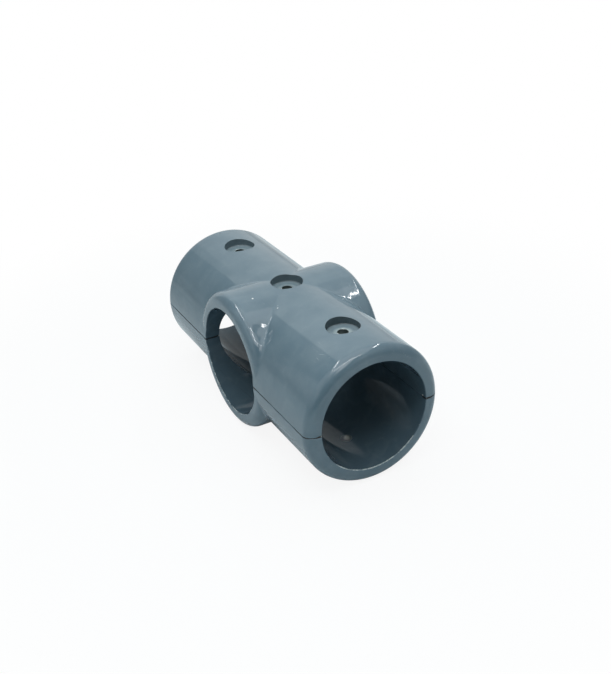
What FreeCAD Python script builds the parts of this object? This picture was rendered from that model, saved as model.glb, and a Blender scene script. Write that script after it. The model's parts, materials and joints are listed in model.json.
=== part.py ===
import FreeCAD, Part
import math
import os

# Cross tube connector: two moulded half shells that close round two crossing tubes.
# All sizes are in millimetres. The run tube lies along X and the cross tube along Y.
# Their axes meet at the origin, and the shells part on the plane z = 0.

# Driving dimensions
TUBE_DIAMETER = 60.3  # outside diameter of both tubes
TUBE_CLEARANCE = 0.35  # gap between a tube and its bore, on the radius
WALL = 8.5  # thickness of the barrel and the collars
RUN_LENGTH = 179.0  # length of the run barrel, end face to end face
COLLAR_SETBACK = 0.5  # how far a collar's end face lies inside the run barrel's side
RIM_ROUND = 5.5  # round on the outer edge of every end face
CREASE_ROUND = 3.2  # round in the crease between the run barrel and a collar
EDGE_CHAMFER = 0.4  # breaks the sharp parting edges and the bore mouths
SCREW_END_DISTANCE = 29.5  # from an outer screw hole to the run barrel's end face
SCREW_HOLE_DIAMETER = 6.0
SCREW_SEAT_DIAMETER = 18.0  # counterbore for a screw head on its washer
SCREW_SEAT_DEPTH = 4.3  # from the crown of the barrel down to the seat

# Sizes that follow from them
BORE_RADIUS = TUBE_DIAMETER / 2 + TUBE_CLEARANCE
OUTER_RADIUS = BORE_RADIUS + WALL
RUN_HALF = RUN_LENGTH / 2
COLLAR_HALF = OUTER_RADIUS - COLLAR_SETBACK
SEAT_HEIGHT = OUTER_RADIUS - SCREW_SEAT_DEPTH
SCREW_PLACES = [-(RUN_HALF - SCREW_END_DISTANCE), 0.0, RUN_HALF - SCREW_END_DISTANCE]

ORIGIN = FreeCAD.Vector(0, 0, 0)
X_AXIS = FreeCAD.Vector(1, 0, 0)
Y_AXIS = FreeCAD.Vector(0, 1, 0)
Z_AXIS = FreeCAD.Vector(0, 0, 1)
HALF_TURN = 180
QUARTER_TURN = 90
TOLERANCE = 1e-4


def rim_arc(end, inward):
    """The round between an end face at x = end and the barrel's side, in the plane z = 0."""
    centre_x = end + inward * RIM_ROUND
    centre_y = OUTER_RADIUS - RIM_ROUND
    slant = RIM_ROUND * math.sqrt(0.5)
    on_face = FreeCAD.Vector(end, centre_y, 0)
    middle = FreeCAD.Vector(centre_x - inward * slant, centre_y + slant, 0)
    on_side = FreeCAD.Vector(centre_x, OUTER_RADIUS, 0)
    return on_face, middle, on_side


def half_barrel(half_length):
    """The upper half of a solid barrel along X, its profile turned half round from seam to seam."""
    left_face, left_middle, left_side = rim_arc(-half_length, 1)
    right_face, right_middle, right_side = rim_arc(half_length, -1)
    left_axis = FreeCAD.Vector(-half_length, 0, 0)
    right_axis = FreeCAD.Vector(half_length, 0, 0)
    profile = Part.Wire([
        Part.LineSegment(left_axis, left_face).toShape(),
        Part.Arc(left_face, left_middle, left_side).toShape(),
        Part.LineSegment(left_side, right_side).toShape(),
        Part.Arc(right_side, right_middle, right_face).toShape(),
        Part.LineSegment(right_face, right_axis).toShape(),
        Part.LineSegment(right_axis, left_axis).toShape(),
    ])
    return Part.Face(profile).revolve(ORIGIN, X_AXIS, HALF_TURN)


def crossing_barrels():
    """The run barrel and the two collars as one solid half body."""
    run = half_barrel(RUN_HALF)
    collars = half_barrel(COLLAR_HALF)
    collars.rotate(ORIGIN, Z_AXIS, QUARTER_TURN)
    return run.fuse(collars)


def cut_screw_seats(body):
    """Flat round seats in the crown, one over each screw hole."""
    for place in SCREW_PLACES:
        bottom = FreeCAD.Vector(place, 0, SEAT_HEIGHT)
        body = body.cut(Part.makeCylinder(SCREW_SEAT_DIAMETER / 2, OUTER_RADIUS, bottom))
    return body


def is_run_side(face):
    """True for the outer side of the run barrel."""
    surface = face.Surface
    if not isinstance(surface, Part.Cylinder):
        return False
    along_run = abs(surface.Axis.dot(X_AXIS)) > 1 - TOLERANCE
    return along_run and abs(surface.Radius - OUTER_RADIUS) < TOLERANCE


def is_collar_outside(face):
    """True for a collar's side, rim or end face, all of them centred on the cross axis."""
    surface = face.Surface
    if not isinstance(surface, (Part.Cylinder, Part.Toroid, Part.Plane)):
        return False
    return abs(surface.Axis.dot(Y_AXIS)) > 1 - TOLERANCE


def crease_edges(body):
    """The edges where a collar grows out of the run barrel's side."""
    creases = []
    for edge in body.Edges:
        faces = body.ancestorsOfType(edge, Part.Face)
        meets_run = any(is_run_side(face) for face in faces)
        meets_collar = any(is_collar_outside(face) for face in faces)
        if meets_run and meets_collar:
            creases.append(edge)
    return creases


def tube_bore(axis, half_length):
    """A cutter for one bore, longer than its barrel, with its own seam turned to the far half."""
    overhang = WALL
    length = 2 * (half_length + overhang)
    cutter = Part.makeCylinder(BORE_RADIUS, length, axis * (-length / 2), axis)
    cutter.rotate(ORIGIN, axis, HALF_TURN)
    return cutter


def is_bore(face):
    """True for the wall of either tube bore."""
    surface = face.Surface
    return isinstance(surface, Part.Cylinder) and abs(surface.Radius - BORE_RADIUS) < TOLERANCE


def is_parting_face(face):
    """True for the flat faces on which the two shells meet."""
    return isinstance(face.Surface, Part.Plane) and face.BoundBox.ZMax < TOLERANCE


def edges_to_break(shell):
    """Every parting edge, and the bore mouths, but not the edges where the two bores cross."""
    edges = []
    for edge in shell.Edges:
        faces = shell.ancestorsOfType(edge, Part.Face)
        bore_faces = [face for face in faces if is_bore(face)]
        at_parting = any(is_parting_face(face) for face in faces)
        at_mouth = len(bore_faces) == 1
        if at_parting or at_mouth:
            edges.append(edge)
    return edges


def cut_screw_holes(shell):
    """Through holes from the seats into the bore."""
    for place in SCREW_PLACES:
        bottom = FreeCAD.Vector(place, 0, 0)
        shell = shell.cut(Part.makeCylinder(SCREW_HOLE_DIAMETER / 2, OUTER_RADIUS, bottom))
    return shell


def half_shell():
    """One moulded half, lying above the parting plane."""
    body = cut_screw_seats(crossing_barrels())
    body = body.makeFillet(CREASE_ROUND, crease_edges(body))
    shell = body.cut(tube_bore(X_AXIS, RUN_HALF))
    shell = shell.cut(tube_bore(Y_AXIS, OUTER_RADIUS))
    shell = shell.makeChamfer(EDGE_CHAMFER, edges_to_break(shell))
    return cut_screw_holes(shell).Solids[0]


# The two halves are the same moulding: the lower one is turned over about the run axis.
upper_shell = half_shell()
lower_shell = upper_shell.copy()
lower_shell.rotate(ORIGIN, X_AXIS, HALF_TURN)

os.makedirs("parts", exist_ok=True)
upper_shell.exportStep(os.path.join("parts", "upper_shell.step"))
lower_shell.exportStep(os.path.join("parts", "lower_shell.step"))

for name, shell in (("upper_shell", upper_shell), ("lower_shell", lower_shell)):
    print(name, "valid", shell.isValid(), "faces", len(shell.Faces), "volume mm3", round(shell.Volume, 1))
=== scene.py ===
# %% [markdown]
# # A cross tube connector
#
# The real object is two identical plastic mouldings that close round two crossing tubes.
# The sizes are fixed already: they come packed from the CAD model, and this lesson only
# dresses that model. It adds the finish of the plastic, the small marks that moulding,
# trimming and drilling leave, the light and the camera.

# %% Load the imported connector
import json
import math

import bmesh
import bpy
from mathutils import Matrix, Vector


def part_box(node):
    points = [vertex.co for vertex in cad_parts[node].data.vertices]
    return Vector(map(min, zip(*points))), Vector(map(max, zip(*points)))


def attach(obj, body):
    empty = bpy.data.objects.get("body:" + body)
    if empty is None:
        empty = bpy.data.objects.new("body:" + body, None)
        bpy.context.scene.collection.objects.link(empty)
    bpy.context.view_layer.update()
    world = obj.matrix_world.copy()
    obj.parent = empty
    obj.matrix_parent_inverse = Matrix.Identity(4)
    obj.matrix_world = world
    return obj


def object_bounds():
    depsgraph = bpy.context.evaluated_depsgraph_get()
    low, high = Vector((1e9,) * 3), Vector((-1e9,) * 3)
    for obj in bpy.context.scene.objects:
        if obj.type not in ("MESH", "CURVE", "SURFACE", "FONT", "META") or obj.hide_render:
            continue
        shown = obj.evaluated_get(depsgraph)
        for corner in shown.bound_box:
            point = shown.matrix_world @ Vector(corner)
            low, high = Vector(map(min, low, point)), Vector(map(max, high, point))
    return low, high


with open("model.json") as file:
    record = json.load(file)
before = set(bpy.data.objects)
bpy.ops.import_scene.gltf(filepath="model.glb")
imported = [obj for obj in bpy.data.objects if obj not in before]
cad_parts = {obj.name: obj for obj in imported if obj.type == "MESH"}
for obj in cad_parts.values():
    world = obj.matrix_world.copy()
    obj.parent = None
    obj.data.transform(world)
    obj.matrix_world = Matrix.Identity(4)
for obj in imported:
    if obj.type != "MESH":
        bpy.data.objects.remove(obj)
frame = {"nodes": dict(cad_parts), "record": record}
cad_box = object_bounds()
MM = 0.001
print("nodes", sorted(frame["nodes"]))
print("CAD box mm", [[round(v / MM, 2) for v in c] for c in cad_box])

# %% [markdown]
# ## Sizes
#
# A piece that is added later has to sit exactly on the mouldings. The sizes could be typed
# in again, but a number that is written twice can disagree with itself, so the bore, the
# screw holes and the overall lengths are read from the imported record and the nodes' boxes.
# Only two sizes that the record doesn't state are written here: the radius of a screw seat,
# and how far a collar's end face lies inside the barrel's side.

# %% Read the sizes
mounts = {mount["name"]: mount for mount in frame["record"]["mounts"]}
screws = mounts["upper_outer_screws"]
shell_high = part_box("upper_shell")[1]
RUN_HALF = shell_high.x
OUTER_RADIUS = shell_high.z
BORE_RADIUS = mounts["run_socket"]["dims"]["r_mm"] * MM
SEAT_HEIGHT = screws["pos_m"][2]
HOLE_SPACING = screws["dims"]["spacing_x_mm"] / 2 * MM
HOLE_RADIUS = screws["dims"]["hole_r_mm"] * MM
HOLE_PLACES = (-HOLE_SPACING, 0.0, HOLE_SPACING)
SEAT_RADIUS = 9 * MM
COLLAR_SETBACK = 0.5 * MM
COLLAR_HALF = OUTER_RADIUS - COLLAR_SETBACK
print("bore radius mm", BORE_RADIUS / MM, "screw holes at x mm", [x / MM for x in HOLE_PLACES])

# %% [markdown]
# ## Camera
#
# The photograph looks down on one end of the run barrel from its left. A camera could be
# placed by eye, but a place, an aim point, a small roll and a lens that were fitted to the
# object's outline put every edge where the photograph has it. The roll turns the camera
# about its own line of sight. The picture is upright, so the lens is measured on its height.

# %% Place the camera
CAMERA_PLACE = Vector((0.426942, -0.213701, 0.270297))
CAMERA_AIM = Vector((0.002865, 0.008429, 0.002455))
CAMERA_ROLL = math.radians(-2.948)
SENSOR_HEIGHT = 36.0
LENS = 51.439
UP = Vector((0, 0, 1))

sight = (CAMERA_AIM - CAMERA_PLACE).normalized()
level_right = sight.cross(UP).normalized()
level_up = level_right.cross(sight)
right = level_right * math.cos(CAMERA_ROLL) + level_up * math.sin(CAMERA_ROLL)
above = level_up * math.cos(CAMERA_ROLL) - level_right * math.sin(CAMERA_ROLL)
camera_turn = Matrix((right, above, -sight)).transposed().to_4x4()
camera_data = bpy.data.cameras.new("photo_camera")
camera_data.sensor_fit = "VERTICAL"
camera_data.sensor_height = SENSOR_HEIGHT
camera_data.lens = LENS
camera = bpy.data.objects.new("photo_camera", camera_data)
camera.matrix_world = Matrix.Translation(CAMERA_PLACE) @ camera_turn
bpy.context.scene.collection.objects.link(camera)
bpy.context.scene.camera = camera
print("camera is", round((CAMERA_AIM - CAMERA_PLACE).length, 3), "m from its aim point")

# %% [markdown]
# ## A short way to write nodes
#
# Materials and Geometry Nodes trees are both made of nodes with sockets. Writing each link
# out takes three lines, so these helpers make a node, set its plain numbers and link its
# other inputs in one call. A socket that is given as a value is linked, and anything else
# is set on the input itself. Many helpers work on a share, which is a number from 0 to 1
# that says how much of something a point has.


# %% Node helpers
def fill(tree, socket, value):
    """Links a socket to another one, or sets it to a plain value."""
    if isinstance(value, bpy.types.NodeSocket):
        tree.links.new(value, socket)
    else:
        socket.default_value = value


def node(tree, kind, inputs=None, **settings):
    """One node, with its settings and inputs filled in."""
    made = tree.nodes.new(kind)
    for name, value in settings.items():
        setattr(made, name, value)
    for key, value in (inputs or {}).items():
        fill(tree, made.inputs[key], value)
    return made


def sums(tree, operation, first, second=0.0):
    """One step of arithmetic on two numbers."""
    return node(tree, "ShaderNodeMath", {0: first, 1: second}, operation=operation).outputs[0]


def overlap(tree, first, second):
    """Where two shares hold at once."""
    return sums(tree, "MULTIPLY", first, second)


def vector_length(tree, vector):
    """How long a vector is."""
    return node(tree, "ShaderNodeVectorMath", {0: vector}, operation="LENGTH").outputs["Value"]


def fade(tree, value, start, end, low=0.0, high=1.0):
    """A smooth change from low to high while a value goes from start to end."""
    ends = {"Value": value, "From Min": start, "From Max": end, "To Min": low, "To Max": high}
    return node(tree, "ShaderNodeMapRange", ends, interpolation_type="SMOOTHSTEP").outputs[0]


def cloud(tree, place, scale, detail=2.0, distortion=0.0):
    """Soft random patches, from 0 to 1, about 1 / scale metres apart."""
    inputs = {"Vector": place, "Scale": scale, "Detail": detail, "Distortion": distortion}
    return node(tree, "ShaderNodeTexNoise", inputs).outputs["Fac"]


def tint(tree, share, under, over):
    """Two colours mixed by a share."""
    mixer = node(tree, "ShaderNodeMix", data_type="RGBA")
    sockets = {socket.identifier: socket for socket in mixer.inputs}
    fill(tree, sockets["Factor_Float"], share)
    fill(tree, sockets["A_Color"], under)
    fill(tree, sockets["B_Color"], over)
    return next(s for s in mixer.outputs if s.identifier == "Result_Color")


def new_material(name):
    """A material with a shader, its node tree and the object's own coordinates."""
    material = bpy.data.materials.new(name)
    material.use_nodes = True
    tree = material.node_tree
    shader = tree.nodes["Principled BSDF"]
    place = node(tree, "ShaderNodeTexCoord").outputs["Object"]
    return material, tree, shader, place


print("node helpers ready")

# %% [markdown]
# ## Where a point lies on a shell
#
# The shells are one plain plastic, so their finish has to come from what happened to it,
# and that differs from place to place. A picture could be painted for all this, but
# distances on Object coordinates cost nothing, fit both shells without a seam and follow
# the sizes. Near a tube axis a point is on the bore, near a screw axis on the seat, and
# near z = 0 on the parting line. In a crease a point is close to both barrels at once. The
# sunk parts are the flanks of the collars, where the wall drew in a little as it cooled.

# %% Find the parts of a shell
BORE_EDGE = BORE_RADIUS + 0.45 * MM
EDGE_SOFTNESS = 0.3 * MM
RUN_GAP_PACE = 2.5  # the gap between the halves closes this much sooner along the run


def axis_distance(tree, place, kept):
    """Distance from one of the axes, from the two coordinates that are kept."""
    inputs = {0: place, 1: kept}
    flat = node(tree, "ShaderNodeVectorMath", inputs, operation="MULTIPLY").outputs[0]
    return vector_length(tree, flat)


def screw_distance(tree, place):
    """Distance from the nearest screw axis; the three holes repeat along the crown."""
    x, y, _ = node(tree, "ShaderNodeSeparateXYZ", {0: place}).outputs
    half = HOLE_SPACING / 2
    along = node(tree, "ShaderNodeMath", {0: x, 1: half, 2: -half}, operation="WRAP").outputs[0]
    return vector_length(tree, node(tree, "ShaderNodeCombineXYZ", {0: along, 1: y}).outputs[0])


def mouth_depth(tree, x, y, along_run):
    """How far a point lies beyond the nearest bore mouth; inside the bore it is negative."""
    run_end = sums(tree, "SUBTRACT", sums(tree, "ABSOLUTE", x), RUN_HALF)
    run_depth = sums(tree, "MULTIPLY", run_end, RUN_GAP_PACE)
    collar_depth = sums(tree, "SUBTRACT", sums(tree, "ABSOLUTE", y), COLLAR_HALF)
    depths = {"Factor": along_run, "A": collar_depth, "B": run_depth}
    return node(tree, "ShaderNodeMix", depths).outputs["Result"]


def shell_parts(tree, place):
    """The parts of a shell as shares, with the distances that they come from."""
    x, y, z = node(tree, "ShaderNodeSeparateXYZ", {0: place}).outputs
    run = axis_distance(tree, place, (0, 1, 1))
    cross = axis_distance(tree, place, (1, 0, 1))
    screw = screw_distance(tree, place)
    height = sums(tree, "ABSOLUTE", z)
    inner = sums(tree, "MINIMUM", run, cross)
    outer = sums(tree, "MAXIMUM", run, cross)
    crown = fade(tree, height, BORE_RADIUS + 0.2 * MM, BORE_RADIUS + 1.2 * MM)
    under = fade(tree, height, BORE_RADIUS - 1 * MM, BORE_RADIUS)
    flank = fade(tree, height, OUTER_RADIUS - 2 * MM, OUTER_RADIUS - 5 * MM)
    in_seat = fade(tree, screw, SEAT_RADIUS + 0.2 * MM, SEAT_RADIUS - 0.1 * MM)
    by_wall = fade(tree, screw, SEAT_RADIUS - 0.5 * MM, SEAT_RADIUS - 0.2 * MM)
    in_hole = fade(tree, screw, HOLE_RADIUS + 0.15 * MM, HOLE_RADIUS + 0.05 * MM)
    junction = fade(tree, outer, OUTER_RADIUS + 2.2 * MM, OUTER_RADIUS + 0.8 * MM)
    on_collar = fade(tree, cross, OUTER_RADIUS + 0.4 * MM, OUTER_RADIUS + 0.1 * MM)
    off_run = fade(tree, run, OUTER_RADIUS, OUTER_RADIUS + 1 * MM)
    seat = overlap(tree, crown, in_seat)
    return {
        "x": x, "z": z, "height": height, "inner": inner, "screw": screw,
        "mouth": mouth_depth(tree, x, y, sums(tree, "LESS_THAN", run, cross)),
        "bore": fade(tree, inner, BORE_EDGE, BORE_EDGE - EDGE_SOFTNESS),
        "outside": fade(tree, inner, BORE_EDGE - EDGE_SOFTNESS, BORE_EDGE),
        "seat": seat,
        "wall": overlap(tree, seat, by_wall),
        "drilled": overlap(tree, under, in_hole),
        "crease": overlap(tree, flank, junction),
        "sunk": overlap(tree, flank, overlap(tree, on_collar, off_run)),
    }


print("bore ends at radius mm", round(BORE_EDGE / MM, 2))

# %% [markdown]
# ## Marks from drilling
#
# A drill whitens the plastic round its hole, most of all at the front hole. The seats were
# moulded round turned pins, which left faint circles on them. The circles could be modelled
# as grooves, but they are far too shallow to see as shapes, so each mark is a share that
# later tints the colour. A little noise is added to the distance from the screw axis first,
# because a perfect circle would look printed on.

# %% Drilling marks
BLOOM_GRAIN, BLOOM_UNEVEN = 420.0, 2.4 * MM
BLOOM_EDGE = (6.6 * MM, 5.0 * MM)
BLOOM_GROWS = (-10 * MM, 50 * MM)
REAR_BLOOM = 0.12
CIRCLE_PITCH = 2.8 * MM
CIRCLE_GRAIN, CIRCLE_UNEVEN = 260.0, 0.9 * MM


def shaken_distance(tree, place, parts, grain, uneven):
    """Distance from the screw axis with some noise on it."""
    noise = sums(tree, "MULTIPLY", cloud(tree, place, grain), uneven)
    return sums(tree, "ADD", parts["screw"], noise)


def hole_bloom(tree, place, parts):
    """Whitened plastic round a drilled hole, with an uneven edge; the front hole has most."""
    reach = shaken_distance(tree, place, parts, BLOOM_GRAIN, BLOOM_UNEVEN)
    ring = overlap(tree, fade(tree, reach, *BLOOM_EDGE), parts["seat"])
    return overlap(tree, ring, fade(tree, parts["x"], *BLOOM_GROWS, REAR_BLOOM, 1.0))


def turned_circles(tree, place, parts):
    """The faint circles that a turned mould pin leaves on a seat."""
    reach = shaken_distance(tree, place, parts, CIRCLE_GRAIN, CIRCLE_UNEVEN)
    ripple = sums(tree, "SINE", sums(tree, "MULTIPLY", reach, 2 * math.pi / CIRCLE_PITCH))
    return overlap(tree, fade(tree, ripple, -1.0, 1.0), parts["seat"])


print("circles on the seats are", round(CIRCLE_PITCH / MM, 2), "mm apart")

# %% [markdown]
# ## Grime in the parting line
#
# Where the halves meet, the narrow gap between them is in shade, and that shade is painted
# as a dark line. On the outside the dark line comes and goes, at the bore mouths the groove
# stands a little open, and deep in a bore it is pressed shut. The groove itself is in the CAD
# model, so only the painted shade is added here: a thin band about z = 0 whose half width
# depends on where it is.

# %% Painted seam shade
SEAM_SHADE_GRAIN, SEAM_SHADE_BREAKS = 60.0, (0.34, 0.60)
THIN_LINE, FULL_LINE, LINE_EDGE = 0.06 * MM, 0.30 * MM, 0.05 * MM
GAP_WIDTH = 0.30 * MM
GAP_CLOSES = (-9 * MM, -6 * MM)
GAP_RIM = (BORE_RADIUS + 4.5 * MM, BORE_RADIUS + 1.5 * MM)
BORE_WALL = (BORE_RADIUS + 1.4 * MM, BORE_RADIUS + 1.0 * MM)
PRESSED_SHUT = (-8 * MM, -16 * MM)


def painted_seam_shade(tree, place, parts):
    """Painted shade of the gap between the halves: broken outside, open at the mouths, gone deep
    inside.
    """
    breaks = cloud(tree, place, SEAM_SHADE_GRAIN, 1.0)
    outside = fade(tree, breaks, *SEAM_SHADE_BREAKS, THIN_LINE, FULL_LINE)
    at_rim = fade(tree, parts["inner"], *GAP_RIM)
    opened = overlap(tree, at_rim, fade(tree, parts["mouth"], *GAP_CLOSES, 0.0, GAP_WIDTH))
    beyond = sums(tree, "SUBTRACT", parts["height"], sums(tree, "ADD", outside, opened))
    in_bore = fade(tree, parts["inner"], *BORE_WALL)
    deep = overlap(tree, in_bore, fade(tree, parts["mouth"], *PRESSED_SHUT))
    line = fade(tree, beyond, LINE_EDGE, 0.0)
    return overlap(tree, line, sums(tree, "SUBTRACT", 1.0, deep))


print("grime line is at most", round(2 * (FULL_LINE + GAP_WIDTH) / MM, 2), "mm wide")

# %% [markdown]
# ## Scuffs, one scratch, specks and painted highlights
#
# Handling leaves short pale scuffs, mostly along the barrel, and one worse patch sits on the
# left of the crown near the front, with one longer scratch in it. A few pale grains stick in
# the skin. Three spots are painted highlights, and a fourth is a pale crumb in a bore corner.
# Scuffs are noise that is drawn out in one direction and cut off at a high level, so that only
# its peaks show. The scratch, the painted highlights and the crumb have known places, so they
# are spots: one long and thin, the others round.

# %% Scuffs, specks and painted highlights
SPOT_CORE = 0.3
SCUFF_CENTRE, SCUFF_REACH = (0.068, -0.0205, 0.033), 14 * MM
SCUFF_DRAW, SCUFF_TURN = (0.16, 1.0, 1.0), (0, 0, 0.5)
SCUFF_GRAIN, SCUFF_PEAKS = 900.0, (0.72, 0.84)
ZONE_GRAIN, ZONE_EDGE, ZONE_LIFT = 38.0, (0.56, 0.72), 0.10
PATCH_LIFT = 0.13
SCRATCH_CENTRE, SCRATCH_TURN = (0.0720, -0.0195, 0.0338), (0, 0, 0.49)
SCRATCH_SIZE = (2.6 * MM, 0.22 * MM, 2.0 * MM)
GRAIN_SPACING, GRAIN_EDGE, GRAIN_SHARE = 95.0, (0.030, 0.020), 0.12
GLINT_REACH = 0.65 * MM
# Three painted highlights on the outside, and one pale crumb in a bore corner.
GLINT_AND_CRUMB_SPOTS = (
    (0.0072, -0.0245, 0.0383),
    (0.0180, -0.0153, 0.0364),
    (0.0196, -0.0162, 0.0358),
    (0.0868, 0.0303, 0.0007),
)


def near(tree, place, centre, reach):
    """1 at a spot, falling to 0 at a distance from it."""
    inputs = {0: place, 1: centre}
    off = node(tree, "ShaderNodeVectorMath", inputs, operation="DISTANCE").outputs["Value"]
    return fade(tree, off, reach, reach * SPOT_CORE)


def scuffs(tree, place, parts):
    """Short pale scratches, sparse everywhere and closer together in one patch."""
    inputs = {"Vector": place, "Scale": SCUFF_DRAW, "Rotation": SCUFF_TURN}
    drawn = node(tree, "ShaderNodeMapping", inputs).outputs[0]
    streaks = cloud(tree, drawn, SCUFF_GRAIN, 3.0, 0.4)
    zones = fade(tree, cloud(tree, place, ZONE_GRAIN), *ZONE_EDGE, 0.0, ZONE_LIFT)
    patch = sums(tree, "MULTIPLY", near(tree, place, SCUFF_CENTRE, SCUFF_REACH), PATCH_LIFT)
    level = sums(tree, "ADD", streaks, sums(tree, "MAXIMUM", zones, patch))
    return overlap(tree, fade(tree, level, *SCUFF_PEAKS), parts["outside"])


def long_scratch(tree, place):
    """One longer scratch across the crown's left edge, as a long thin spot."""
    inputs = {"Vector": place, "Location": SCRATCH_CENTRE, "Rotation": SCRATCH_TURN,
              "Scale": SCRATCH_SIZE}
    turned = node(tree, "ShaderNodeMapping", inputs, vector_type="TEXTURE").outputs[0]
    return fade(tree, vector_length(tree, turned), 1.0, 0.5)


def specks_and_painted_glints(tree, place, parts):
    """A few pale grains stuck in the surface, three painted highlights and one pale crumb."""
    inputs = {"Vector": place, "Scale": GRAIN_SPACING}
    sparse = node(tree, "ShaderNodeTexVoronoi", inputs).outputs["Distance"]
    grains = overlap(tree, fade(tree, sparse, *GRAIN_EDGE, 0.0, GRAIN_SHARE), parts["outside"])
    for centre in GLINT_AND_CRUMB_SPOTS:
        grains = sums(tree, "MAXIMUM", grains, near(tree, place, centre, GLINT_REACH))
    return grains


print("scuffed patch at mm", [round(v / MM, 1) for v in SCUFF_CENTRE])

# %% [markdown]
# ## Colour of the moulded plastic
#
# The plastic is blue-grey all through, and its colour drifts a little, as pigment does. One
# flat colour would look like paint, so the base mixes two close greys by slow noise and then
# takes the marks one over the other: the last in the list lies on top. The bores are painted
# darker as shade. The walls of the screw seats are painted dark as shade, less so at the rear.
# Drilled holes are painted dark as shade on the upper shell. On the lower one they are painted
# pale as a reflection, with a painted bright spot in the front hole, where light comes up.

# %% Colour of the plastic
PALE_GREY = (0.111, 0.169, 0.206, 1)
DEEP_GREY = (0.093, 0.149, 0.186, 1)
# Painted shade: the bores get a darker grey because little light reaches inside them.
BORE_SHADE_GREY = (0.054, 0.088, 0.113, 1)
# Painted shade on the walls of the screw seats.
WALL_SHADE_GREY = (0.018, 0.034, 0.040, 1)
SEAT_GREY = (0.205, 0.260, 0.275, 1)
# Painted shade in the drilled holes of the upper shell.
HOLE_SHADE_GREY = (0.042, 0.058, 0.056, 1)
# Painted reflection: the lower holes' walls are as pale as the bore's reflections around them.
LOWER_HOLE_REFLECTION_GREY = (0.33, 0.38, 0.40, 1)
DUST_GREY = (0.30, 0.36, 0.38, 1)
WHITENED_GREY = (0.27, 0.35, 0.36, 1)
# Painted shade of the gap between the halves.
SEAM_SHADE_BLACK = (0.010, 0.013, 0.015, 1)
LIT_WHITE = (0.85, 0.88, 0.86, 1)
# Pale grains, painted highlights and a crumb share this colour.
SPECK_AND_PAINTED_GLINT_WHITE = (0.70, 0.74, 0.75, 1)
DRIFT_GRAIN, DRIFT_EDGE = 55.0, (0.3, 0.7)
SMUDGE_GRAIN, SMUDGE_EDGE = 160.0, (0.45, 0.75)
DUSTY_REACH = 11 * MM
WALL_DARKENS, REAR_WALL = (-40 * MM, 40 * MM), 0.62
# Painted light: a bright spot in the front lower hole, where light comes up through it.
LIT_SPOT, LIT_REACH = (0.0576, 0.0018, -0.0322), 2.3 * MM

moulded_plastic, tree, shader, place = new_material("moulded_plastic")
parts = shell_parts(tree, place)
bloom = hole_bloom(tree, place, parts)
circles = turned_circles(tree, place, parts)
seam_shade = painted_seam_shade(tree, place, parts)
scuffed = sums(tree, "MAXIMUM", scuffs(tree, place, parts), long_scratch(tree, place))
speckled_and_painted_glints = specks_and_painted_glints(tree, place, parts)
drift = fade(tree, cloud(tree, place, DRIFT_GRAIN, 4.0), *DRIFT_EDGE)
smudge = fade(tree, cloud(tree, place, SMUDGE_GRAIN, 3.0, 0.6), *SMUDGE_EDGE)
dusty = near(tree, place, SCUFF_CENTRE, DUSTY_REACH)
# Painted shade on the seat walls, weaker toward the rear.
shaded = overlap(tree, parts["wall"], fade(tree, parts["x"], *WALL_DARKENS, REAR_WALL, 1.0))
# Painted shade in the upper holes, painted reflection and light in the lower ones.
painted_lower_hole_light = tint(tree, near(tree, place, LIT_SPOT, LIT_REACH), LOWER_HOLE_REFLECTION_GREY, LIT_WHITE)
hole_shade_and_light = tint(tree, fade(tree, parts["z"], 0.0, -1 * MM), HOLE_SHADE_GREY, painted_lower_hole_light)

colour = tint(tree, drift, PALE_GREY, DEEP_GREY)
for share, amount, over in (
    # painted shade inside the bores
    (parts["bore"], 1.0, BORE_SHADE_GREY),
    (smudge, 0.05, DUST_GREY),
    (dusty, 0.10, DUST_GREY),
    (scuffed, 0.18, DUST_GREY),
    # pale grains, painted highlights and a crumb
    (speckled_and_painted_glints, 0.9, SPECK_AND_PAINTED_GLINT_WHITE),
    (parts["seat"], 0.55, SEAT_GREY),
    (circles, 0.55, DEEP_GREY),
    (bloom, 0.55, WHITENED_GREY),
    # painted shade on the seat walls
    (shaded, 0.95, WALL_SHADE_GREY),
    # painted shade in the upper holes, painted reflection and light in the lower ones
    (parts["drilled"], 1.0, hole_shade_and_light),
    # painted shade of the gap between the halves
    (seam_shade, 1.0, SEAM_SHADE_BLACK),
):
    colour = tint(tree, sums(tree, "MULTIPLY", share, amount), colour, over)
tree.links.new(colour, shader.inputs["Base Color"])
print("colour of the plastic takes", len(tree.nodes), "nodes")

# %% [markdown]
# ## Gloss of the moulded plastic
#
# The outside has the gloss of a polished mould. A scuff or a whitened edge is dull as well
# as pale, so roughness adds up the same shares that tint the colour. Inside a bore the skin
# reflects less, so the specular level falls there. The index of refraction is the same
# everywhere, so it is set on the shader's own socket.

# %% Gloss of the plastic
GLOSS = 0.06
OUTER_SHEEN, BORE_SHEEN = 0.5, 0.115
PLASTIC_IOR = 1.5

dull = GLOSS
for share, amount in (
    (smudge, 0.04),
    (scuffed, 0.22),
    (parts["seat"], 0.22),
    (bloom, 0.2),
    (seam_shade, 0.4),
):
    dull = sums(tree, "ADD", dull, sums(tree, "MULTIPLY", share, amount))
tree.links.new(dull, shader.inputs["Roughness"])
sheen = fade(tree, parts["bore"], 0.0, 1.0, OUTER_SHEEN, BORE_SHEEN)
tree.links.new(sheen, shader.inputs["Specular IOR Level"])
shader.inputs["IOR"].default_value = PLASTIC_IOR
print("roughness of clean plastic", GLOSS)

# %% [markdown]
# ## Relief of the moulded plastic
#
# Moulded walls are never quite even. There are slow waves from cooling and a fine skin all
# over, ripples in the creases, sink waves on the collars' flanks, one dip by the left collar
# and one slight swell by the right one. Most are a few hundredths of a millimetre high, and
# the sink waves, the dip and the swell some tenths. That is too little to see as a shape,
# but it bends every reflection. One Bump node takes the sum of their heights in metres.

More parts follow.
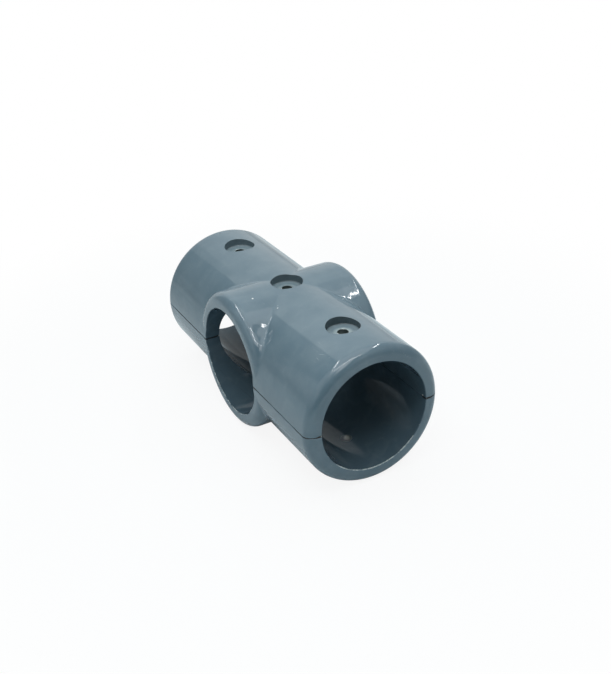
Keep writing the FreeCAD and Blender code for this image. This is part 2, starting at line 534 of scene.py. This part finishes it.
# %% Relief of the plastic
WAVE_GRAIN, WAVE_HEIGHT = 42.0, 0.04 * MM
SKIN_GRAIN, SKIN_HEIGHT = 620.0, 0.004 * MM
CREASE_GRAIN, CREASE_HEIGHT = 260.0, 0.03 * MM
SINK_GRAIN, SINK_HEIGHT = 150.0, 0.16 * MM
SCUFF_HEIGHT = 0.006 * MM
DIP_CENTRE, DIP_REACH, DIP_DEPTH = (0.0273, -0.0298, 0.0281), 7.65 * MM, 0.694 * MM
SWELL_CENTRE, SWELL_REACH, SWELL_HEIGHT = (0.0293, 0.0237, 0.0296), 11.4 * MM, 0.457 * MM


def bump_from(tree, height, shader):
    """Bends a shader's normals by a height in metres."""
    bump = node(tree, "ShaderNodeBump", {"Height": height, "Distance": 1.0, "Strength": 1.0})
    tree.links.new(bump.outputs[0], shader.inputs["Normal"])


relief = 0.0
for share, height in (
    (cloud(tree, place, WAVE_GRAIN, 1.0), WAVE_HEIGHT),
    (cloud(tree, place, SKIN_GRAIN, 2.0), SKIN_HEIGHT),
    (overlap(tree, cloud(tree, place, CREASE_GRAIN, 1.0), parts["crease"]), CREASE_HEIGHT),
    (overlap(tree, cloud(tree, place, SINK_GRAIN, 2.0), parts["sunk"]), SINK_HEIGHT),
    (near(tree, place, DIP_CENTRE, DIP_REACH), -DIP_DEPTH),
    (scuffed, SCUFF_HEIGHT),
    (near(tree, place, SWELL_CENTRE, SWELL_REACH), SWELL_HEIGHT),
):
    relief = sums(tree, "ADD", relief, sums(tree, "MULTIPLY", share, height))
bump_from(tree, relief, shader)

for name in ("upper_shell", "lower_shell"):
    slots = frame["nodes"][name].data.materials
    slots.clear()
    slots.append(moulded_plastic)
print("moulded plastic has", len(tree.nodes), "nodes")

# %% [markdown]
# ## Torn and trimmed plastic
#
# Where a knife has trimmed the moulding or a drill has gone through it, the plastic is torn:
# paler than the skin, and dull. It gets a material of its own, so that the thin beads made
# in the next steps stand out along the edges as they do on the real object.

# %% Trimmed plastic
TORN_PALE = (0.48, 0.55, 0.55, 1)
TORN_DEEP = (0.15, 0.21, 0.24, 1)
TORN_GRAIN, TORN_EDGE = 700.0, (0.35, 0.65)
TORN_DULL = (0.35, 0.6)
FIBRE_GRAIN, FIBRE_HEIGHT = 2500.0, 0.02 * MM

trimmed_plastic, tree, shader, place = new_material("trimmed_plastic")
torn = fade(tree, cloud(tree, place, TORN_GRAIN, 3.0), *TORN_EDGE)
tree.links.new(tint(tree, torn, TORN_DEEP, TORN_PALE), shader.inputs["Base Color"])
tree.links.new(fade(tree, torn, 0.0, 1.0, *TORN_DULL), shader.inputs["Roughness"])
fibres = sums(tree, "MULTIPLY", cloud(tree, place, FIBRE_GRAIN, 2.0), FIBRE_HEIGHT)
bump_from(tree, fibres, shader)
shader.inputs["IOR"].default_value = PLASTIC_IOR
print("trimmed plastic has", len(tree.nodes), "nodes")

# %% [markdown]
# ## Starting and ending a Geometry Nodes tree
#
# Two trees follow, and both begin and end alike. A tree starts with named inputs for its
# sizes. It ends by turning copies into real faces and giving them a finish, because copies
# that exist only inside a tree are lost when the object is exported.


# %% Tree helpers
def new_tree(name, inputs, output):
    """An empty tree with some named inputs and one shape to hand out."""
    tree = bpy.data.node_groups.new(name, "GeometryNodeTree")
    for label, kind in inputs:
        tree.interface.new_socket(label, in_out="INPUT", socket_type="NodeSocket" + kind)
    tree.interface.new_socket(output, in_out="OUTPUT", socket_type="NodeSocketGeometry")
    return tree, tree.nodes.new("NodeGroupInput").outputs


def end_tree(tree, shape, finish):
    """Makes a shape real, gives it its finish and hands it out."""
    solid = node(tree, "GeometryNodeRealizeInstances", {"Geometry": shape}).outputs[0]
    dressed = {"Geometry": solid, "Material": finish}
    done = node(tree, "GeometryNodeSetMaterial", dressed).outputs[0]
    tree.links.new(done, tree.nodes.new("NodeGroupOutput").inputs[0])


def kept_value(tree, name, kind="FLOAT"):
    """A value that the points carry under a name."""
    return node(tree, "GeometryNodeInputNamedAttribute", {"Name": name}, data_type=kind).outputs[0]


print("tree helpers ready")

# %% [markdown]
# ## A tree for a bead of flash
#
# Flash is the thin ragged bead that squeezes out of a mould along its edges and is cut off
# by hand. It follows a path, it wanders, and it comes and goes. Modelling it vertex by
# vertex would be slow, so a tree does it once for every edge. It takes a path of mesh
# edges, cuts it into short steps, pushes each step about with noise, deletes the stretches
# where a second noise is low, and sweeps a small ring along what is left. A number called
# "amount" on the path's points says how much flash an edge has.

# %% The bead tree
RING_SIDES = 6
LUMP_PACE = 0.35  # lumps are longer than the wander's grain
FULL_LEVEL = 0.6
THINNEST_SHARE = 0.08


def seeded_noise(tree, where, grain, seed):
    """Noise in space that another seed changes as a whole."""
    inputs = {"Vector": where, "Scale": grain, "W": seed}
    return node(tree, "ShaderNodeTexNoise", inputs, noise_dimensions="4D").outputs


def wander(tree, where, given):
    """A random push to either side."""
    noise = seeded_noise(tree, where, given["Grain"], given["Seed"])["Color"]
    halves = {0: noise, 1: (0.5, 0.5, 0.5)}
    centred = node(tree, "ShaderNodeVectorMath", halves, operation="SUBTRACT").outputs[0]
    scaled = {0: centred, "Scale": given["Wander"]}
    return node(tree, "ShaderNodeVectorMath", scaled, operation="SCALE").outputs[0]


def bead_tree():
    """A tree that sweeps a ragged, broken bead along the edges it is given."""
    sizes = [(name, "Float") for name in ("Bead radius", "Step", "Wander", "Grain", "Gaps", "Seed")]
    inputs = [("Path", "Geometry"), *sizes, ("Finish", "Material")]
    tree, given = new_tree("flash_bead", inputs, "Bead")
    line = node(tree, "GeometryNodeMeshToCurve", {"Mesh": given["Path"]}).outputs[0]
    cut = {"Curve": line, "Length": given["Step"]}
    steps = node(tree, "GeometryNodeResampleCurve", cut, mode="LENGTH").outputs[0]
    wire = node(tree, "GeometryNodeCurveToMesh", {"Curve": steps}).outputs[0]

    where = tree.nodes.new("GeometryNodeInputPosition").outputs[0]
    coarse = sums(tree, "MULTIPLY", given["Grain"], LUMP_PACE)
    lumps = seeded_noise(tree, where, coarse, given["Seed"])["Fac"]
    level = sums(tree, "MULTIPLY", lumps, kept_value(tree, "amount"))
    share = fade(tree, level, given["Gaps"], FULL_LEVEL)
    labelled = {"Geometry": wire, "Name": "size", "Value": share}
    sized = node(tree, "GeometryNodeStoreNamedAttribute", labelled, data_type="FLOAT",
                 domain="POINT")
    pushed = {"Geometry": sized.outputs[0], "Offset": wander(tree, where, given)}
    shifted = node(tree, "GeometryNodeSetPosition", pushed).outputs[0]

    size = kept_value(tree, "size")
    limit = {0: size, 1: THINNEST_SHARE}
    bare = node(tree, "FunctionNodeCompare", limit, data_type="FLOAT", operation="LESS_THAN")
    cleared = {"Geometry": shifted, "Selection": bare.outputs[0]}
    broken = node(tree, "GeometryNodeDeleteGeometry", cleared, domain="POINT").outputs[0]
    core = node(tree, "GeometryNodeMeshToCurve", {"Mesh": broken}).outputs[0]
    round_shape = {"Resolution": RING_SIDES, "Radius": given["Bead radius"]}
    ring = node(tree, "GeometryNodeCurvePrimitiveCircle", round_shape).outputs[0]
    sweep = {"Curve": core, "Profile Curve": ring, "Scale": size, "Fill Caps": True}
    bead = node(tree, "GeometryNodeCurveToMesh", sweep).outputs[0]
    smooth = node(tree, "GeometryNodeSetShadeSmooth", {"Geometry": bead}).outputs[0]
    end_tree(tree, smooth, given["Finish"])
    return tree


flash_bead = bead_tree()
print("bead tree has", len(flash_bead.nodes), "nodes")

# %% [markdown]
# ## From a path to a plain mesh
#
# A path is a mesh with edges and no faces. A modifier runs the tree on it. Its inputs are
# set by their identifiers, before Blender evaluates the object for the first time. The
# result is then taken as a plain mesh and the modifier goes, because what is exported later
# has to be ordinary triangles. The faces are turned outwards at the end.


# %% Paths and plain meshes
def path_object(name, paths):
    """Mesh edges along some paths; each path is a list of points with its amount of flash."""
    mesh = bpy.data.meshes.new(name)
    points, edges, amounts = [], [], []
    for path in paths:
        first = len(points)
        points += [point for point, amount in path]
        amounts += [amount for point, amount in path]
        edges += [(first + i, first + i + 1) for i in range(len(path) - 1)]
    mesh.from_pydata(points, edges, [])
    mesh.attributes.new("amount", "FLOAT", "POINT").data.foreach_set("value", amounts)
    made = bpy.data.objects.new(name, mesh)
    bpy.context.scene.collection.objects.link(made)
    return made


def grow(piece, tree, **values):
    """Runs a tree on a piece and keeps the result as its plain mesh."""
    modifier = piece.modifiers.new("grow", "NODES")
    modifier.node_group = tree
    given = [item for item in tree.interface.items_tree if item.in_out == "INPUT"]
    names = {item.name.replace(" ", "_"): item.identifier for item in given}
    for name, value in values.items():
        modifier[names[name]] = value
    graph = bpy.context.evaluated_depsgraph_get()
    mesh = bpy.data.meshes.new_from_object(piece.evaluated_get(graph))
    piece.modifiers.clear()
    piece.data = mesh
    shape = bmesh.new()
    shape.from_mesh(mesh)
    bmesh.ops.recalc_face_normals(shape, faces=shape.faces)
    shape.to_mesh(mesh)
    shape.free()
    mesh.name = piece.name
    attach(piece, "root")
    print(piece.name, "has", len(mesh.polygons), "faces")


print("path helpers ready")

# %% [markdown]
# ## Flash at the bore mouths
#
# Every mouth was trimmed with a knife, and the front mouth worst of all: a ragged pale line
# runs along its lowest part. The path is a ring on the small chamfer between the bore and
# the end face. It stays inside the end face, and it leaves the tube room in the bore. Each
# half of a mouth is a path of its own that stops short of the parting line.

# %% Paths round the mouths
MOUTH_STEPS = 96
MOUTH_START, MOUTH_SHARE = 0.012, 0.976
BEAD_INSET = 0.24 * MM
FRONT_UPPER, FRONT_LOWER, FRONT_LOWEST = 0.52, 0.62, 0.68
FRONT_REACH, FRONT_FADE = 0.95, 0.25
LEFT_UPPER, LEFT_LOWER, LEFT_LUMP = 0.66, 0.85, 0.4
LUMP_ANGLE, LUMP_WIDTH = 2.0, 0.2
OTHER_MOUTHS = 0.75


def mouth_ring(along, across, side, amount_at):
    """The upper and the lower half of one mouth's edge; along is its axis and side its end."""
    half_length = RUN_HALF if along.x else COLLAR_HALF
    radius = BORE_RADIUS + BEAD_INSET
    end = along * (side * (half_length - BEAD_INSET))
    halves = []
    for sign in (1, -1):
        path = []
        for i in range(MOUTH_STEPS + 1):
            angle = math.pi * (MOUTH_START + MOUTH_SHARE * i / MOUTH_STEPS)
            spot = across * (radius * math.cos(angle)) + UP * (sign * radius * math.sin(angle))
            path.append((spot + end, amount_at(angle, sign)))
        halves.append(path)
    return halves


def worn_front(angle, sign):
    """Flash on the front mouth: most of it in the lowest part of the lower half."""
    lowest = min(1.0, max(0.0, (FRONT_REACH - abs(angle - math.pi / 2)) / FRONT_FADE))
    return FRONT_UPPER if sign > 0 else FRONT_LOWER + FRONT_LOWEST * lowest


def worn_left(angle, sign):
    """Flash on the left collar's mouth: one lump on the lower half."""
    lump = math.exp(-((angle - LUMP_ANGLE) / LUMP_WIDTH) ** 2)
    return LEFT_UPPER if sign > 0 else LEFT_LOWER + LEFT_LUMP * lump


def worn_other(angle, sign):
    """Flash on the mouths that face away: the same all round."""
    return OTHER_MOUTHS


ALONG_RUN, ALONG_CROSS = Vector((1, 0, 0)), Vector((0, 1, 0))
mouths = []
for along, across, side, amount_at in (
    (ALONG_RUN, ALONG_CROSS, 1, worn_front),
    (ALONG_RUN, ALONG_CROSS, -1, worn_other),
    (ALONG_CROSS, ALONG_RUN, -1, worn_left),
    (ALONG_CROSS, ALONG_RUN, 1, worn_other),
):
    mouths += mouth_ring(along, across, side, amount_at)
print("mouth paths", len(mouths))

# %% [markdown]
# The tree now turns these paths into beads. A bead that wanders could stand a little out of
# an end face, and the object would grow, so its points are held inside the end faces.


# %% Mouth flash
def held(value, limit):
    """A number that is kept between -limit and limit."""
    return max(-limit, min(limit, value))


mouth_flash = path_object("mouth_flash", mouths)
grow(mouth_flash, flash_bead, Bead_radius=0.36 * MM, Step=0.40 * MM, Wander=0.30 * MM,
     Grain=520.0, Gaps=0.30, Seed=3.0, Finish=trimmed_plastic)
for vertex in mouth_flash.data.vertices:
    spot = vertex.co
    if abs(spot.x) > RUN_HALF / 2:
        spot.x = held(spot.x, RUN_HALF)
    else:
        spot.y = held(spot.y, COLLAR_HALF)

# %% [markdown]
# ## Burrs round the screw holes
#
# The holes were drilled after moulding, and a drill leaves a small raised burr where it
# enters. The same tree makes the burrs: only the paths are new, one circle on each seat.

# %% Hole burrs
BURR_STEPS = 36
BURR_RADIUS = HOLE_RADIUS + 0.12 * MM
BURR_HEIGHT = SEAT_HEIGHT + 0.04 * MM
FULL_AMOUNT = 1.0


def burr_ring(hole, sign):
    """A circle on one seat, just outside its drilled hole."""
    path = []
    for i in range(BURR_STEPS + 1):
        angle = 2 * math.pi * i / BURR_STEPS
        x, y = hole + BURR_RADIUS * math.cos(angle), BURR_RADIUS * math.sin(angle)
        path.append((Vector((x, y, sign * BURR_HEIGHT)), FULL_AMOUNT))
    return path


burr_paths = [burr_ring(hole, sign) for hole in HOLE_PLACES for sign in (1, -1)]
hole_burrs = path_object("hole_burrs", burr_paths)
grow(hole_burrs, flash_bead, Bead_radius=0.24 * MM, Step=0.35 * MM, Wander=0.12 * MM,
     Grain=500.0, Gaps=0.36, Seed=11.0, Finish=trimmed_plastic)

# %% [markdown]
# ## Flash on the parting line
#
# The halves meet on z = 0, and here and there a crumb of flash stands in the groove between
# them, mostly at the inner corners of the end faces. The path runs along the barrel's side,
# round its rim and across the end face. Most of it has too little flash to show.

# %% Seam flash
RIM_ROUND = 5.5 * MM
GROOVE_DEPTH = 0.3 * MM
SIDE_START = 44 * MM
SIDE_STEPS, BEND_STEPS, FACE_STEPS = 20, 8, 6
FACE_END = BORE_RADIUS + 0.4 * MM
SEAM_AMOUNT, CORNER_AMOUNT, CORNER_WIDTH = 0.72, 0.45, 1.6 * MM


def seam_path(end, side):
    """The outer parting edge of one quarter, from the barrel's side to the bore mouth."""
    outer, tip = OUTER_RADIUS - GROOVE_DEPTH, RUN_HALF - GROOVE_DEPTH
    bend_x, bend_y = RUN_HALF - RIM_ROUND, OUTER_RADIUS - RIM_ROUND
    turn = RIM_ROUND - GROOVE_DEPTH
    flat = []
    for i in range(SIDE_STEPS):
        flat.append((SIDE_START + (bend_x - SIDE_START) * i / SIDE_STEPS, outer))
    for i in range(BEND_STEPS + 1):
        angle = math.pi / 2 * i / BEND_STEPS
        flat.append((bend_x + turn * math.sin(angle), bend_y + turn * math.cos(angle)))
    for i in range(1, FACE_STEPS + 1):
        flat.append((tip, bend_y + (FACE_END - bend_y) * i / FACE_STEPS))
    path = []
    for x, y in flat:
        corner = math.exp(-((y - BORE_RADIUS) / CORNER_WIDTH) ** 2)
        path.append((Vector((end * x, side * y, 0)), SEAM_AMOUNT + CORNER_AMOUNT * corner))
    return path


seam_paths = [seam_path(end, side) for end in (1, -1) for side in (1, -1)]
seam_flash = path_object("seam_flash", seam_paths)
grow(seam_flash, flash_bead, Bead_radius=0.28 * MM, Step=0.4 * MM, Wander=0.25 * MM,
     Grain=480.0, Gaps=0.42, Seed=5.0, Finish=trimmed_plastic)

# %% [markdown]
# ## Rounds at the foot of the screw seats
#
# A counterbore from a mould has no sharp inner corner: its wall runs into the flat seat
# through a small round, which catches the light as a bright arc. The round is one lathed
# ring: a profile is turned about Z in small steps, and faces join each step to the next.
# Its hidden sides lie just inside the moulding, so nothing shows a gap.

# %% One foot ring
FOOT_ROUND = 0.5 * MM
BURIED = 0.15 * MM
LATHE_STEPS = 96
ARC_STEPS = 6


def foot_profile():
    """Radius and height of the points round the ring's section; the seat is at z = 0."""
    profile = []
    for i in range(ARC_STEPS + 1):
        angle = math.pi / 2 * (i / ARC_STEPS - 1)
        radius = SEAT_RADIUS - FOOT_ROUND + FOOT_ROUND * math.cos(angle)
        profile.append((radius, FOOT_ROUND + FOOT_ROUND * math.sin(angle)))
    behind, start = SEAT_RADIUS + BURIED, SEAT_RADIUS - FOOT_ROUND
    return profile + [(behind, FOOT_ROUND), (behind, -BURIED), (start, -BURIED)]


def lathed_foot():
    """The ring for one seat, turned about Z."""
    profile = foot_profile()
    shape = bmesh.new()
    rows = []
    for step in range(LATHE_STEPS):
        turn = 2 * math.pi * step / LATHE_STEPS
        spots = [(r * math.cos(turn), r * math.sin(turn), z) for r, z in profile]
        rows.append([shape.verts.new(spot) for spot in spots])
    for step in range(LATHE_STEPS):
        here, ahead = rows[step], rows[(step + 1) % LATHE_STEPS]
        for i in range(len(profile)):
            j = (i + 1) % len(profile)
            face = shape.faces.new((here[i], ahead[i], ahead[j], here[j]))
            face.smooth = i < ARC_STEPS
    mesh = bpy.data.meshes.new("seat_foot")
    shape.to_mesh(mesh)
    shape.free()
    return mesh


foot = bpy.data.objects.new("seat_foot", lathed_foot())
print("one foot ring has", len(foot.data.polygons), "faces")

# %% [markdown]
# There are six seats, so Geometry Nodes put the ring on six points, turned over for the
# lower shell. Six copies made by hand would do as well, but the points already follow from
# the places of the holes, and one tree keeps all the rings alike.


# %% Seat rounds
def repeat_tree():
    """A tree that puts one object on every point, turned as the point's "turn" says."""
    inputs = [("Points", "Geometry"), ("Shape", "Object"), ("Finish", "Material")]
    tree, given = new_tree("seat_repeat", inputs, "Copies")
    shape = node(tree, "GeometryNodeObjectInfo", {"Object": given["Shape"]}).outputs["Geometry"]
    turn = kept_value(tree, "turn", "FLOAT_VECTOR")
    turned = node(tree, "FunctionNodeEulerToRotation", {0: turn}).outputs[0]
    spots = {"Points": given["Points"], "Instance": shape, "Rotation": turned}
    copies = node(tree, "GeometryNodeInstanceOnPoints", spots).outputs[0]
    end_tree(tree, copies, given["Finish"])
    return tree


places, turns = [], []
for hole in HOLE_PLACES:
    for sign in (1, -1):
        places.append((hole, 0, sign * SEAT_HEIGHT))
        turns += [0 if sign > 0 else math.pi, 0, 0]
seat_points = bpy.data.meshes.new("seat_rounds")
seat_points.from_pydata(places, [], [])
seat_points.attributes.new("turn", "FLOAT_VECTOR", "POINT").data.foreach_set("vector", turns)
seat_rounds = bpy.data.objects.new("seat_rounds", seat_points)
bpy.context.scene.collection.objects.link(seat_rounds)
grow(seat_rounds, repeat_tree(), Shape=foot, Finish=moulded_plastic)
bpy.data.objects.remove(foot)

# %% [markdown]
# ## Light
#
# The photograph was taken in a small white tent: three bright bars under its roof, a soft
# roof between them, and pale walls. A single soft lamp would light the plastic as well, but
# glossy plastic shows its surroundings, so one bar lies across the front and one along each
# side, where their reflections fall on the rims and creases. The walls are cut into pieces,
# because they get darker downwards and toward the far left corner, and their cloth is
# slightly cool. The panels are laid out in the camera's own directions: forward to the
# camera, and aside to the right of the picture. A panel's radiance is how bright it looks,
# and its power follows from its area.

# %% Light panels
TOWARD_CAMERA = Vector((-sight.x, -sight.y, 0)).normalized()
PICTURE_RIGHT = UP.cross(TOWARD_CAMERA)
DOWN, FROM_BACK, FROM_LEFT, FROM_RIGHT = -UP, TOWARD_CAMERA, PICTURE_RIGHT, -PICTURE_RIGHT
ROOF, BAR_HEIGHT = 0.52, 0.50
BACK, LEFT, RIGHT = -0.38, -0.36, 0.36
LAMP_WHITE = (1, 1, 1)
CLOTH_COLOUR = (0.96, 1.0, 1.0)
# name, forward, aside, height, facing, width, length, radiance
PANELS = (
    ("roof_rear", -0.27, 0.0, ROOF, DOWN, 0.70, 0.18, 0.9),
    ("roof_middle", 0.07, 0.0, ROOF, DOWN, 0.70, 0.50, 1.74),
    ("roof_near_right", 0.47, 0.08, ROOF, DOWN, 0.26, 0.30, 3.4),
    ("roof_near_left", 0.47, -0.20, ROOF, DOWN, 0.30, 0.30, 0.7),
    ("bar_front", 0.26, 0.03, BAR_HEIGHT, DOWN, 0.46, 0.02, 23.0),
    ("bar_left", -0.05, -0.265, BAR_HEIGHT, DOWN, 0.018, 0.34, 22.0),
    ("bar_right", -0.176, 0.293, BAR_HEIGHT, DOWN, 0.016, 0.35, 32.0),
    ("back_foot", BACK, 0.0, 0.0075, FROM_BACK, 0.72, 0.085, 0.56),
    ("back_low", BACK, 0.0, 0.095, FROM_BACK, 0.72, 0.09, 0.80),
    ("back_middle", BACK, 0.045, 0.23, FROM_BACK, 0.63, 0.18, 0.86),
    ("back_corner", BACK, -0.315, 0.23, FROM_BACK, 0.09, 0.18, 0.55),
    ("back_high", BACK, 0.0, 0.37, FROM_BACK, 0.72, 0.10, 1.05),
    ("back_top", BACK, 0.0, 0.48, FROM_BACK, 0.72, 0.12, 1.17),
    ("left_foot", 0.11, LEFT, 0.0125, FROM_LEFT, 0.98, 0.095, 0.29),
    ("left_low_rear", -0.24, LEFT, 0.195, FROM_LEFT, 0.28, 0.27, 0.18),
    ("left_low_near", 0.25, LEFT, 0.13, FROM_LEFT, 0.70, 0.14, 0.48),
    ("left_rear", -0.22, LEFT, 0.415, FROM_LEFT, 0.32, 0.17, 0.36),
    ("left_near", 0.27, LEFT, 0.35, FROM_LEFT, 0.66, 0.30, 0.85),
    ("right_low", 0.11, RIGHT, 0.08, FROM_RIGHT, 0.98, 0.23, 0.2),
    ("right_high", 0.11, RIGHT, 0.35, FROM_RIGHT, 0.98, 0.30, 0.5),
)


def panel(name, forward, aside, height, facing, width, length, radiance):
    """A soft rectangular lamp at a place in the tent that shines along facing."""
    lamp = bpy.data.lights.new(name, "AREA")
    lamp.shape = "RECTANGLE"
    lamp.size, lamp.size_y = width, length
    lamp.energy = math.pi * width * length * radiance
    lamp.color = LAMP_WHITE if facing == DOWN else CLOTH_COLOUR
    shown = bpy.data.objects.new(name, lamp)
    spread = TOWARD_CAMERA if facing == DOWN else UP
    turn = Matrix((spread.cross(-facing), spread, -facing)).transposed().to_4x4()
    spot = TOWARD_CAMERA * forward + PICTURE_RIGHT * aside + UP * height
    shown.matrix_world = Matrix.Translation(spot) @ turn
    shown.visible_camera = False
    bpy.context.scene.collection.objects.link(shown)
    return shown


lamps = [panel(*row) for row in PANELS]
print("lamps", [lamp.name for lamp in lamps])

# %% [markdown]
# ## Floor
#
# The object stands on plain white. Lighting a floor until it is white would burn out the
# plastic too, so the floor glows white only for rays that come from the camera or through a
# see-through surface, and it is an ordinary pale floor for all other light. A reflection
# gets a small share of the glow, because the bores and the lower flanks of the real object
# stay dark. Near the object a part of the floor stays diffuse for the camera as well, and
# that part keeps the shadow.

# %% White floor
FLOOR_SIZE = 8.0
FLOOR_PALE = (0.62, 0.70, 0.73, 1)
PURE_WHITE = (1, 1, 1, 1)
GLOW_NEAR, GLOW_FAR = 0.90, 1.0
SHADOW_REACH = (0.14, 0.34)
GLOSSY_SHARE = 0.05


def seen_directly(tree):
    """1 for rays from the camera or a see-through surface, less for a reflection, else 0."""
    path = node(tree, "ShaderNodeLightPath").outputs
    direct = sums(tree, "MAXIMUM", path["Is Camera Ray"], path["Is Transmission Ray"])
    mirrored = sums(tree, "MULTIPLY", path["Is Glossy Ray"], GLOSSY_SHARE)
    return sums(tree, "MAXIMUM", direct, mirrored)


half = FLOOR_SIZE / 2
floor_z = cad_box[0].z
corners = [(x * half, y * half, floor_z) for x, y in ((-1, -1), (1, -1), (1, 1), (-1, 1))]
floor_mesh = bpy.data.meshes.new("floor")
floor_mesh.from_pydata(corners, [], [(0, 1, 2, 3)])
floor = bpy.data.objects.new("floor", floor_mesh)
bpy.context.scene.collection.objects.link(floor)

white_floor = bpy.data.materials.new("white_floor")
white_floor.use_nodes = True
tree = white_floor.node_tree
tree.nodes.clear()
away = vector_length(tree, node(tree, "ShaderNodeTexCoord").outputs["Object"])
glowing = fade(tree, away, *SHADOW_REACH, GLOW_NEAR, GLOW_FAR)
seen = sums(tree, "MULTIPLY", seen_directly(tree), glowing)
paper = node(tree, "ShaderNodeBsdfDiffuse", {"Color": FLOOR_PALE}).outputs[0]
glow = node(tree, "ShaderNodeEmission", {"Color": PURE_WHITE, "Strength": 1.0}).outputs[0]
both = node(tree, "ShaderNodeMixShader", {0: seen, 1: paper, 2: glow}).outputs[0]
node(tree, "ShaderNodeOutputMaterial", {"Surface": both})
floor_mesh.materials.append(white_floor)
print("floor at z mm", round(floor_z / MM, 2))

# %% [markdown]
# ## Background
#
# Behind the floor's far edge the world is white in the same way: seen, but lighting
# nothing, because the panels already light the object. The Standard view shows a colour
# about as it is written.

# %% White background
world = bpy.data.worlds.new("tent")
world.use_nodes = True
tree = world.node_tree
background = tree.nodes["Background"]
background.inputs["Color"].default_value = PURE_WHITE
tree.links.new(seen_directly(tree), background.inputs["Strength"])
bpy.context.scene.world = world
bpy.context.scene.view_settings.view_transform = "Standard"
print("world", world.name, "view", bpy.context.scene.view_settings.view_transform)
